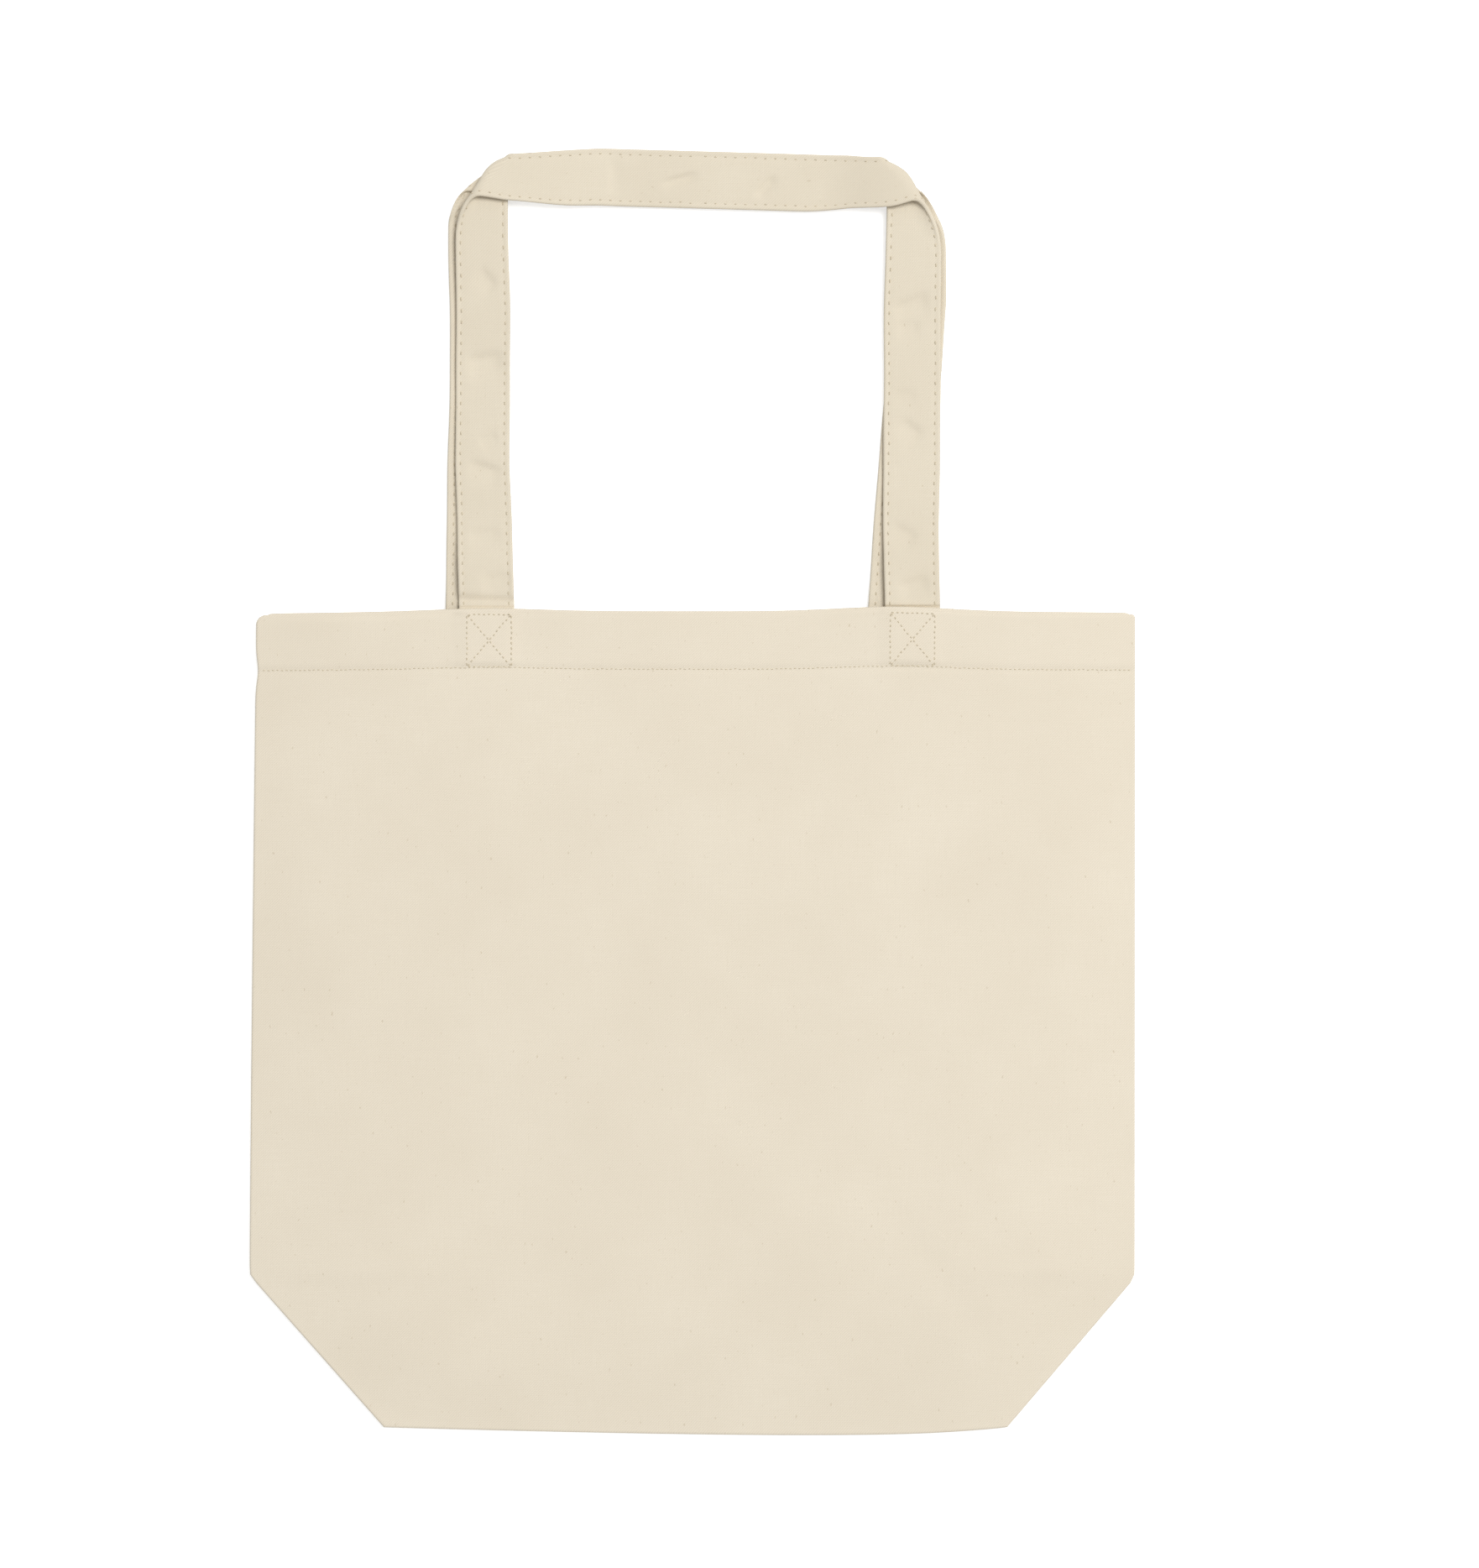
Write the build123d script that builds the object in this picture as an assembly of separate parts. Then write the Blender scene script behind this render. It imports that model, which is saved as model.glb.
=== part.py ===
from build123d import *

import os

# Canvas tote bag lying flat on its back, with its two handles laid out above the mouth.
# Millimetres. +X runs across the bag, +Y from the bottom edge to the handles, +Z up out of the front.
# The origin is the middle of the whole outline, on the surface that the back panel lies on.

# Driving dimensions of the bag
BAG_WIDTH = 406.0  # across the widest level, just above the boxed corners
MOUTH_WIDTH = 403.0  # across the hem
BAG_HEIGHT = 378.0  # bottom edge to mouth
BASE_LENGTH = 285.0  # straight bottom edge between the two boxed corners
CORNER_RISE = 69.5  # height of the slanting corner edges
GUSSET_DEPTH = 127.0  # front to back of the base when the bag stands open
HEM_WIDTH = 26.0  # the turned-in band round the mouth
SEAM_ALLOWANCE = 10.0  # overlocked cloth inside each side seam

# Driving dimensions of the handles
STRAP_WIDTH = 25.4
HANDLE_RISE = 212.0  # mouth to the top of the handle
FRONT_FEET = (-94.3, 101.1)  # strap centres where they leave the hem, left and right
FRONT_SHOULDERS = (-96.3, 101.1)  # strap centres where they turn over at the top
BACK_FEET = (-100.7, 93.4)
BACK_SHOULDERS = (-99.5, 103.8)
STRAP_END_LENGTH = 25.0  # length sewn inside the hem
HINGE_GAP = 1.0  # bare stretch between the sewn end and the free loop

# Cloth and thread
CANVAS = 0.8
STRAP = 1.8  # canvas folded into four layers and pressed
THREAD = 0.3  # how far a row of stitches stands proud of the cloth
STITCH_WIDTH = 0.5
CLEARANCE = 0.3  # between layers that lie on each other

# Stitching
HEM_STITCH_DROP = 26.8  # mouth to the row that holds the hem
BOX_WIDTH = 21.0  # the crossed square that holds each strap end
BOX_TOP_DROP = 1.8
BOX_BOTTOM_DROP = 25.8
STRAP_STITCH_INSET = 2.6  # edge of the strap to its row of stitches
STRAP_STITCH_MARGIN = 2.0  # bare strap beyond each end of a row

# How far the raised middle of the front panel stays inside each edge of its outline
SIDE_FLANK = 70.0
CORNER_FLANK = 60.0
BASE_FLANK = 90.0
FLANKS = (SIDE_FLANK, CORNER_FLANK, BASE_FLANK, CORNER_FLANK, SIDE_FLANK)

# Levels along Y
LENGTH = BAG_HEIGHT + HANDLE_RISE
BOTTOM_Y = -LENGTH / 2
MOUTH_Y = BOTTOM_Y + BAG_HEIGHT
TOP_Y = LENGTH / 2
CORNER_Y = BOTTOM_Y + CORNER_RISE
TUCK_Y = BOTTOM_Y + GUSSET_DEPTH / 2  # fold line of the tucked-in base
HEM_Y = MOUTH_Y - HEM_WIDTH
LOOP_Y = MOUTH_Y + HINGE_GAP
TURN_Y = TOP_Y - STRAP_WIDTH  # lower edge of the strap's crosswise run

# Levels along Z, from the surface upwards
BACK_INSIDE_Z = CANVAS
BACK_STRAP_Z = 2 * CANVAS
BACK_RUN_Z = BACK_STRAP_Z + STRAP
FRONT_STRAP_Z = BACK_RUN_Z + STRAP + THREAD + CLEARANCE
FRONT_INSIDE_Z = FRONT_STRAP_Z + STRAP + CANVAS
FRONT_OUTSIDE_Z = FRONT_INSIDE_Z + CANVAS
TUCK_LOW_Z = BACK_INSIDE_Z + CLEARANCE
TUCK_HIGH_Z = TUCK_LOW_Z + 2 * CANVAS + 2 * CLEARANCE
RIM_Z = TUCK_HIGH_Z + CLEARANCE  # underside of the front panel round its edge

BEYOND = 2 * LENGTH  # reaches well outside the whole bag on every side

LEFT, RIGHT = -1, 1
UP = (0, 0, 1)


def polygon(points):
    """A flat face from its corners in space."""
    return Face(Wire.make_polygon([Vector(*p) for p in points]))


def plate(outline, z, thickness):
    """A level sheet: an outline in X and Y, from height z upwards."""
    return extrude(polygon([(x, y, z) for x, y in outline]), amount=thickness, dir=UP)


def slab(low, high):
    """A box between two opposite corners."""
    size = [b - a for a, b in zip(low, high)]
    middle = [(a + b) / 2 for a, b in zip(low, high)]
    return Pos(*middle) * Box(*size)


def fused(solids):
    """Several touching solids as one."""
    whole = Part()
    for solid in solids:
        whole += solid
    return whole


def bag_outline():
    """The bag's six corners, anticlockwise from the left end of the mouth."""
    return [
        (-MOUTH_WIDTH / 2, MOUTH_Y),
        (-BAG_WIDTH / 2, CORNER_Y),
        (-BASE_LENGTH / 2, BOTTOM_Y),
        (BASE_LENGTH / 2, BOTTOM_Y),
        (BAG_WIDTH / 2, CORNER_Y),
        (MOUTH_WIDTH / 2, MOUTH_Y),
    ]


def under_front(lift):
    """All the space under the front panel's inner face, or under a face that much above it.

    The face is level in the middle, and slopes down to the rim along every edge but the mouth.
    """
    outline = bag_outline()
    rise = FRONT_INSIDE_Z - RIM_Z
    space = slab((-BEYOND, -BEYOND, -BEYOND), (BEYOND, BEYOND, FRONT_INSIDE_Z + lift))
    for start, end, run in zip(outline, outline[1:], FLANKS):
        along = (Vector(*end) - Vector(*start)).normalized()
        slope = Vector(along.Y * rise, -along.X * rise, run)
        face = Plane(origin=(*start, RIM_Z + lift), z_dir=slope)
        space = split(space, bisect_by=face, keep=Keep.BOTTOM)
    return space


def below(y, solid):
    """The stretch of a solid between the bottom edge and one level along Y."""
    return solid & slab((-BEYOND, -BEYOND, -BEYOND), (BEYOND, y, BEYOND))


def front_panel():
    """The front, with the hem turned in behind its top edge."""
    blank = plate(bag_outline(), 0, FRONT_OUTSIDE_Z) & under_front(CANVAS)
    return blank - below(HEM_Y, under_front(0)) - under_front(-CANVAS)


def back_panel():
    """The back, lying on the surface, with its hem turned in on top."""
    blank = plate(bag_outline(), 0, 2 * CANVAS)
    return blank - below(HEM_Y, plate(bag_outline(), BACK_INSIDE_Z, CANVAS))


def base_gusset():
    """The base, folded in half along its length and tucked up between front and back."""
    profile = [
        (BOTTOM_Y, TUCK_LOW_Z),
        (TUCK_Y, TUCK_LOW_Z),
        (TUCK_Y, TUCK_HIGH_Z),
        (BOTTOM_Y, TUCK_HIGH_Z),
        (BOTTOM_Y, TUCK_HIGH_Z - CANVAS),
        (TUCK_Y - CANVAS, TUCK_HIGH_Z - CANVAS),
        (TUCK_Y - CANVAS, TUCK_LOW_Z + CANVAS),
        (BOTTOM_Y, TUCK_LOW_Z + CANVAS),
    ]
    half = BASE_LENGTH / 2 - STITCH_WIDTH
    return extrude(polygon([(-half, y, z) for y, z in profile]), amount=2 * half, dir=(1, 0, 0))


def boxed_corner(side):
    """The three-cornered tuck where a side turns under to meet the end of the base."""
    seam_x = side * BASE_LENGTH / 2
    outline = [
        (seam_x, BOTTOM_Y),
        (seam_x, TUCK_Y),
        (side * BAG_WIDTH / 2, CORNER_Y),
    ]
    return plate(outline, TUCK_LOW_Z, TUCK_HIGH_Z - TUCK_LOW_Z)


def corner_stitching(side):
    """The row that closes a boxed corner against the end of the base."""
    inner = side * (BASE_LENGTH / 2 - STITCH_WIDTH)
    outer = side * BASE_LENGTH / 2
    low = (min(inner, outer), BOTTOM_Y, TUCK_LOW_Z)
    high = (max(inner, outer), TUCK_Y, TUCK_HIGH_Z)
    return slab(low, high)


def side_strip(side, start, width):
    """The outline of a strip along one side seam, from the corner up to the hem."""
    slope = (MOUTH_WIDTH - BAG_WIDTH) / 2 / (MOUTH_Y - CORNER_Y)
    corner_x = BAG_WIDTH / 2 - start
    hem_x = corner_x + slope * (HEM_Y - CORNER_Y)
    return [
        (side * corner_x, CORNER_Y),
        (side * hem_x, HEM_Y),
        (side * (hem_x - width), HEM_Y),
        (side * (corner_x - width), CORNER_Y),
    ]


def side_seam(side):
    """The two panels' edges, sewn together and turned inside the bag."""
    return plate(side_strip(side, 0, SEAM_ALLOWANCE), BACK_INSIDE_Z, RIM_Z - BACK_INSIDE_Z)


def side_overlock(side):
    """The thread that binds the raw edge of a side seam."""
    outline = side_strip(side, SEAM_ALLOWANCE, STITCH_WIDTH)
    return plate(outline, TUCK_LOW_Z, TUCK_HIGH_Z - TUCK_LOW_Z)


def strap_end(foot_x, z):
    """The end of a strap, sewn flat against the inside of the hem."""
    half = STRAP_WIDTH / 2
    low = (foot_x - half, MOUTH_Y - STRAP_END_LENGTH, z)
    return slab(low, (foot_x + half, MOUTH_Y, z + STRAP))


def leg_outline(foot_x, shoulder_x, side):
    """One upright leg of a handle, cut off at the slanting fold."""
    half = STRAP_WIDTH / 2
    outer, inner = side * half, -side * half
    return [
        (foot_x + outer, LOOP_Y),
        (shoulder_x + outer, TURN_Y),
        (shoulder_x + inner, TOP_Y),
        (foot_x + inner, LOOP_Y),
    ]


def run_outline(shoulders):
    """The crosswise run at the top of a handle, between its two slanting folds."""
    half = STRAP_WIDTH / 2
    left, right = shoulders
    return [
        (left - half, TURN_Y),
        (right + half, TURN_Y),
        (right - half, TOP_Y),
        (left + half, TOP_Y),
    ]


def handle(feet, shoulders, leg_z):
    """A free strap: two legs, folded over at 45 degrees into a run that lies on top of them."""
    legs = [
        plate(leg_outline(foot_x, shoulder_x, side), leg_z, STRAP)
        for foot_x, shoulder_x, side in zip(feet, shoulders, (LEFT, RIGHT))
    ]
    return fused([*legs, plate(run_outline(shoulders), leg_z + STRAP, STRAP)])


def handle_stitching(feet, shoulders, leg_z):
    """The rows along both edges of a strap, on each leg and on the run."""
    rows = []
    reach = STRAP_WIDTH / 2 - STRAP_STITCH_INSET
    half = STITCH_WIDTH / 2
    low_y = LOOP_Y + STRAP_STITCH_MARGIN
    high_y = TURN_Y - STRAP_STITCH_MARGIN
    for foot_x, shoulder_x in zip(feet, shoulders):
        lean = (shoulder_x - foot_x) / (TOP_Y - LOOP_Y)
        for offset in (-reach, reach):
            low_x = foot_x + offset + lean * (low_y - LOOP_Y)
            high_x = foot_x + offset + lean * (high_y - LOOP_Y)
            outline = [
                (low_x - half, low_y),
                (low_x + half, low_y),
                (high_x + half, high_y),
                (high_x - half, high_y),
            ]
            rows.append(plate(outline, leg_z + STRAP, THREAD))
    left, right = (x + s * STRAP_WIDTH / 2 for x, s in zip(shoulders, (RIGHT, LEFT)))
    for y in (TURN_Y + STRAP_STITCH_INSET, TOP_Y - STRAP_STITCH_INSET):
        low = (left, y - half, leg_z + 2 * STRAP)
        rows.append(slab(low, (right, y + half, leg_z + 2 * STRAP + THREAD)))
    return Compound(children=rows)


def front_hem_stitching():
    """The row that holds the front hem, on the outside of the front panel."""
    y = MOUTH_Y - HEM_STITCH_DROP
    row = plate(bag_outline(), 0, FRONT_OUTSIDE_Z + THREAD) & under_front(CANVAS + THREAD)
    row = below(y + STITCH_WIDTH / 2, row) - below(y - STITCH_WIDTH / 2, row)
    return row - under_front(CANVAS)


def back_hem_stitching():
    """The row that holds the back hem, on the inside, where it shows through the mouth."""
    half = MOUTH_WIDTH / 2 - SEAM_ALLOWANCE
    low = (-half, HEM_Y, BACK_STRAP_Z)
    return slab(low, (half, HEM_Y + STITCH_WIDTH, BACK_STRAP_Z + THREAD))


def box_stitching(foot_x, z):
    """The crossed square of stitches that holds one strap end."""
    left, right = foot_x - BOX_WIDTH / 2, foot_x + BOX_WIDTH / 2
    low, high = MOUTH_Y - BOX_BOTTOM_DROP, MOUTH_Y - BOX_TOP_DROP
    half = STITCH_WIDTH / 2
    ring = plate([(left, low), (right, low), (right, high), (left, high)], z, THREAD) - slab(
        (left + STITCH_WIDTH, low + STITCH_WIDTH, z),
        (right - STITCH_WIDTH, high - STITCH_WIDTH, z + THREAD),
    )
    diagonals = []
    for start_y, end_y in ((low, high), (high, low)):
        slant = half if end_y > start_y else -half
        outline = [
            (left, start_y + slant),
            (left + half, start_y),
            (right, end_y - slant),
            (right - half, end_y),
        ]
        diagonals.append(plate(outline, z, THREAD))
    return fused([ring, *diagonals])


def parts():
    """Every sub-part by the name of its node."""
    made = {
        "front_panel": front_panel(),
        "back_panel": back_panel(),
        "base_gusset": base_gusset(),
        "front_handle": handle(FRONT_FEET, FRONT_SHOULDERS, FRONT_STRAP_Z),
        "back_handle": handle(BACK_FEET, BACK_SHOULDERS, BACK_STRAP_Z),
        "front_handle_stitching": handle_stitching(FRONT_FEET, FRONT_SHOULDERS, FRONT_STRAP_Z),
        "back_handle_stitching": handle_stitching(BACK_FEET, BACK_SHOULDERS, BACK_STRAP_Z),
        "front_hem_stitching": front_hem_stitching(),
        "back_hem_stitching": back_hem_stitching(),
    }
    for name, side in (("left", LEFT), ("right", RIGHT)):
        made[f"{name}_side_seam"] = side_seam(side)
        made[f"{name}_side_overlock"] = side_overlock(side)
        made[f"{name}_boxed_corner"] = boxed_corner(side)
        made[f"{name}_corner_stitching"] = corner_stitching(side)
    for name, front_x, back_x in zip(("left", "right"), FRONT_FEET, BACK_FEET):
        made[f"front_handle_{name}_end"] = strap_end(front_x, FRONT_STRAP_Z)
        made[f"back_handle_{name}_end"] = strap_end(back_x, BACK_STRAP_Z)
        made[f"front_{name}_box_stitching"] = box_stitching(front_x, FRONT_OUTSIDE_Z)
        made[f"back_{name}_box_stitching"] = box_stitching(back_x, BACK_STRAP_Z + STRAP)
    return made


os.makedirs("parts", exist_ok=True)
for node, shape in parts().items():
    export_step(shape, f"parts/{node}.step")
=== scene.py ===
# Looks of the canvas tote bag, lying flat on its back as photographed.
# Lengths are worked out in millimetres, in the frame's own axes, and scaled to metres as each mesh is made.

import math
from collections import namedtuple

import bpy
import numpy as np
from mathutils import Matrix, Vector


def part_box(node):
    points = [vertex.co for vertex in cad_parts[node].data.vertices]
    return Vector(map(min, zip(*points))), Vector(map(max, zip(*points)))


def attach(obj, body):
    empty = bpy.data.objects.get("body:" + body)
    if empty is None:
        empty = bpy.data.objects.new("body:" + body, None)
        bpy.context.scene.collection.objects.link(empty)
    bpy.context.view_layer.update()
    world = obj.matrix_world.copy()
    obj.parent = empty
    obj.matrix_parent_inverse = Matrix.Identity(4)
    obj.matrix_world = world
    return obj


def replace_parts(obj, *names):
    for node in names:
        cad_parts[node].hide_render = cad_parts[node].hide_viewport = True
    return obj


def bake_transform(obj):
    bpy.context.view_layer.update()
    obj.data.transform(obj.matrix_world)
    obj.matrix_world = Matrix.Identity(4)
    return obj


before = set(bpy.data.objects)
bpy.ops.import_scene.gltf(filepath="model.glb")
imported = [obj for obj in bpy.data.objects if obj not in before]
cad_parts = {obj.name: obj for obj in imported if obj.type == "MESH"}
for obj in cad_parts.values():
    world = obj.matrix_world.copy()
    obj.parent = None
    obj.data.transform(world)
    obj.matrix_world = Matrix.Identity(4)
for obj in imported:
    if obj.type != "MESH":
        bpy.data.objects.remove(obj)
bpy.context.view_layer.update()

MM = 0.001


def node_box(node):
    """A node's lowest and highest corners, in millimetres."""
    low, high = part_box(node)
    return np.array(low) / MM, np.array(high) / MM


# Levels and widths taken from the frame
HEM_ROW_LIFT = 0.7  # the photographed row lies this much above the frame's stitching
PANEL_LOW, PANEL_HIGH = node_box("front_panel")
BOTTOM_Y = PANEL_LOW[1]
MOUTH_Y = PANEL_HIGH[1]
HALF_WIDTH = PANEL_HIGH[0]
TOP_Y = node_box("front_handle")[1][1]
TUCK_Y = node_box("base_gusset")[1][1]
HEM_ROW_Y = node_box("front_hem_stitching")[1][1] + HEM_ROW_LIFT
END_LOW, END_HIGH = node_box("front_handle_left_end")
STRAP_WIDTH = END_HIGH[0] - END_LOW[0]
HALF_STRAP = STRAP_WIDTH / 2
END_Y = END_LOW[1]  # lower end of the sewn-in strap

# Cloth
CANVAS = 0.8
STRAP_THICK = 1.9
FLOOR_GAP = 0.5  # room for the stitches that stand out on the back
FOLD = 0.7  # radius of the cloth's middle layer round a pressed edge
TURN_IN = 2.4  # cloth that shows behind a pressed edge before the inner pieces take over
RIM_GAP = 0.9  # between the pressed edges of front and back
BACK_Z = FLOOR_GAP + CANVAS / 2
BACK_RIM_Z = BACK_Z + FOLD
FRONT_RIM_Z = BACK_RIM_Z + 2 * FOLD + RIM_GAP

LEFT, RIGHT = -1, 1
SIDES = {"left": LEFT, "right": RIGHT}

# The outline's departures from straight lines, as photographed
LEANS = {LEFT: 3.1, RIGHT: -0.2}  # how far each side leans in at the mouth
LEAN_CURVE = 1.2
HEM_PINCH, HEM_PINCH_RUN = 1.0, 7.0  # the hem row draws the left side in
BOTTOM_BOW = 3.6  # the bottom edge hangs lower in the middle
BOTTOM_LOW_X = 45.0  # it is lowest here
BOW_CURVES = {LEFT: 1.5, RIGHT: 3}  # how late it turns up towards each end
BOW_FADE = 25.0  # height over which the bow dies out
BASE_ENDS = {LEFT: 141.5, RIGHT: 144.6}  # half lengths of the bottom edge
CORNER_ROUND = 0.8
RIGHT_CORNER_DROP = 1.2  # the right slanting corner ends lower than the left one
MOUTH_ROUND = {LEFT: 4.0, RIGHT: 1.5}  # the mouth's two ends
MOUTH_DROP = 1.0
MOUTH_END_DROPS = {LEFT: 1.0, RIGHT: 0.5}  # how much further the mouth drops at its ends
MOUTH_RISES = {LEFT: (0.0, 1.4), RIGHT: (-9.0, 2.15)}  # beside each strap, and how far it draws the mouth up
MOUTH_RISE_RUN = 36.0
MOUTH_FADE = 60.0  # depth over which that dies out


def smoothstep(x):
    """0 below 0, 1 above 1, and smooth between them."""
    x = np.clip(x, 0.0, 1.0)
    return x * x * (3 - 2 * x)


def bump(x, width):
    """1 at 0, falling off on both sides."""
    return np.exp(-((x / width) ** 2))


def ramp(x, start, run):
    """0 up to start, and 1 from the end of its run on."""
    return smoothstep((x - start) / run)


def stretch(x, start, up, end, down):
    """0 up to start, 1 once it has risen, and 0 again from end on."""
    return ramp(x, start, up) * ramp(-x, -end, down)


def xyz(x, y, z):
    """Points from their coordinates, spread to one shape."""
    return np.stack(np.broadcast_arrays(x, y, z), axis=-1)


def soft_max(first, second, blur):
    """The larger of two values, rounded off where they meet."""
    return 0.5 * (first + second + np.sqrt((first - second) ** 2 + blur * blur))


def soft_min(first, second, blur):
    """The smaller of two values, rounded off where they meet."""
    return -soft_max(-first, -second, blur)


# Outline of the bag

BASE_Y = BOTTOM_Y + BOTTOM_BOW  # level of the bottom edge's two ends
CORNER_Y = node_box("left_boxed_corner")[1][1] + BOTTOM_BOW  # level where the slanting corners end


def upright_edge(y, side):
    """Distance from the middle to the upright part of the left or right side."""
    climb = np.clip((y - CORNER_Y) / (MOUTH_Y - CORNER_Y), 0, 1)
    return HALF_WIDTH - LEANS[side] * climb**LEAN_CURVE


def slant_edge(y, side):
    """Distance from the middle to the slanting corner, and its lean out for each step up."""
    base = BASE_ENDS[side]
    rise = CORNER_Y - BASE_Y - RIGHT_CORNER_DROP * (side == RIGHT)
    lean = (HALF_WIDTH - base) / rise
    return base + (y - BASE_Y) * lean, lean


def side_edge(y, side):
    """Distance from the middle to the left or right side at a level."""
    upright = upright_edge(y, side) - HEM_PINCH * bump(y - HEM_ROW_Y, HEM_PINCH_RUN) * (side == LEFT)
    slant, _ = slant_edge(y, side)
    rounding = MOUTH_ROUND[side]
    over = np.clip((y - MOUTH_Y) / rounding + 1, 0, 1)
    upright = upright - rounding * (1 - np.sqrt(1 - over**2))
    return soft_min(upright, slant, CORNER_ROUND)


def side_slope(y, side):
    """Turns a distance along X from a side into one square to it."""
    step = 0.5
    lean = (side_edge(y + step, side) - side_edge(y - step, side)) / (2 * step)
    return 1 / np.sqrt(1 + np.clip(lean, -1, 1) ** 2)


def bottom_drop(x, y):
    """How far the bow of the bottom edge lowers a point of the panel."""
    to_left = np.clip((BOTTOM_LOW_X - x) / (BOTTOM_LOW_X + BASE_ENDS[LEFT]), 0, 1)
    to_right = np.clip((x - BOTTOM_LOW_X) / (BASE_ENDS[RIGHT] - BOTTOM_LOW_X), 0, 1)
    bow = 1 - to_left ** BOW_CURVES[LEFT] - to_right ** BOW_CURVES[RIGHT]
    return BOTTOM_BOW * bow * np.exp(-(y - BASE_Y) / BOW_FADE)


def mouth_lift(x, y):
    """The mouth's edge is drawn up a little at the straps and drops towards its ends."""
    end_drop = np.where(x < 0, MOUTH_END_DROPS[LEFT], MOUTH_END_DROPS[RIGHT])
    lift = -MOUTH_DROP - end_drop * (np.abs(x) / HALF_WIDTH) ** 3
    for side, (beside, rise) in MOUTH_RISES.items():
        lift = lift + rise * bump(x - FRONT_FEET[side] - beside, MOUTH_RISE_RUN)
    return lift * np.exp(-np.clip(MOUTH_Y - y, 0, None) / MOUTH_FADE)


def strap_feet(which):
    """Where a handle's two legs leave the hem."""
    feet = {}
    for name, side in SIDES.items():
        low, high = node_box(f"{which}_handle_{name}_end")
        feet[side] = (low[0] + high[0]) / 2
    return feet


FRONT_FEET = strap_feet("front")
BACK_FEET = strap_feet("back")


# Height of the front panel

SWELL = 4.5  # how far the middle of the front stands above its rim
SWELL_RUN, SWELL_CURVE = 38.0, 1.2
SWELL_ROUND = 12.0  # how softly the swell turns a corner of the bag
UNEVEN, CALM_RUN = 0.20, 40.0  # unevenness of the cloth, apart from a calm edge
WAVE_COUNT = 14
WAVE_LENGTHS = (55, 170)
WRINKLE_DEPTH = 0.16
WRINKLE_X, WRINKLE_Y = 125, -225  # middle of the wrinkled patch
WRINKLE_COS, WRINKLE_SIN = 0.80, 0.60  # its slant
WRINKLE_ACROSS, WRINKLE_ALONG = 34.0, 40.0  # its size
COARSE, FINE, FINE_SHARE = 4.6, 2.9, 0.6  # its ridges
HEM_STEP, HEM_STEP_RAMP = 0.45, (-2.0, 5.0)  # the hem's double cloth stands higher
ROW_DIP, ROW_DIP_WIDTH = 0.30, 1.1  # and is pulled down along its stitches
STRAP_STEP, STRAP_STEP_LEAD, STRAP_STEP_RUN = 0.7, 1.0, 3.0  # a strap inside the hem lifts it

rng = np.random.default_rng(7)
WAVES = [
    (
        rng.uniform(-1, 1),
        rng.uniform(-1, 1),
        2 * math.pi / rng.uniform(*WAVE_LENGTHS),
        rng.uniform(0, 2 * math.pi),
    )
    for _ in range(WAVE_COUNT)
]


def undulation(x, y):
    """The slight unevenness of cloth that has been pressed and laid down."""
    total = 0.0
    for across, along, rate, phase in WAVES:
        size = math.hypot(across, along)
        total = total + np.sin(rate * (across * x + along * y) / size + phase) / len(WAVES) ** 0.5
    return total


def wrinkles(x, y):
    """Faint slanting wrinkles low on the right."""
    x, y = x - WRINKLE_X, y - WRINKLE_Y
    across = WRINKLE_COS * x + WRINKLE_SIN * y
    along = -WRINKLE_SIN * x + WRINKLE_COS * y
    ridges = np.sin(across / COARSE) + FINE_SHARE * np.sin(across / FINE + 1.0)
    return ridges * bump(across, WRINKLE_ACROSS) * bump(along, WRINKLE_ALONG)


def front_height(x, y, edge):
    """Height of the middle of the front cloth above its rim, at a distance from the bag's edge."""
    z = SWELL * (1 - np.exp(-((np.clip(edge, 0, None) / SWELL_RUN) ** SWELL_CURVE)))
    calm = smoothstep(edge / CALM_RUN)
    z = z + UNEVEN * calm * undulation(x, y) + WRINKLE_DEPTH * calm * wrinkles(x, y)
    z = z + HEM_STEP * ramp(y - HEM_ROW_Y, *HEM_STEP_RAMP) - ROW_DIP * bump(y - HEM_ROW_Y, ROW_DIP_WIDTH)
    for foot in FRONT_FEET.values():
        inside = smoothstep((HALF_STRAP + STRAP_STEP_RUN / 2 - np.abs(x - foot)) / STRAP_STEP_RUN)
        z = z + STRAP_STEP * inside * ramp(y - END_Y, -STRAP_STEP_LEAD, STRAP_STEP_RUN)
    return z


def edge_distance(x, y, blur):
    """Distance from the sides, the slanting corners and the bottom edge."""
    left = (x + side_edge(y, LEFT)) * side_slope(y, LEFT)
    right = (side_edge(y, RIGHT) - x) * side_slope(y, RIGHT)
    return soft_min(soft_min(left, right, blur), y - BASE_Y, blur)


def place(x, y):
    """A point of the regular layout, moved to follow the bowed bottom and the uneven mouth."""
    return x, y - bottom_drop(x, y) + mouth_lift(x, y)


def front_surface(u, v, n):
    """A point on the front cloth: layout position u, v, and n above the cloth's middle layer."""
    x, y = place(u, v)
    z = FRONT_RIM_Z + FOLD + front_height(u, v, edge_distance(u, v, SWELL_ROUND)) + n
    return xyz(x, y, z)


def back_surface(u, v, n):
    """A point on the back cloth, n below its middle layer."""
    x, y = place(u, v)
    return xyz(x, y, BACK_Z - n)


# Mesh helpers


def add_object(name, data):
    """Puts a mesh, a light or a camera into the scene."""
    obj = bpy.data.objects.new(name, data)
    bpy.context.scene.collection.objects.link(obj)
    return obj


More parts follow.
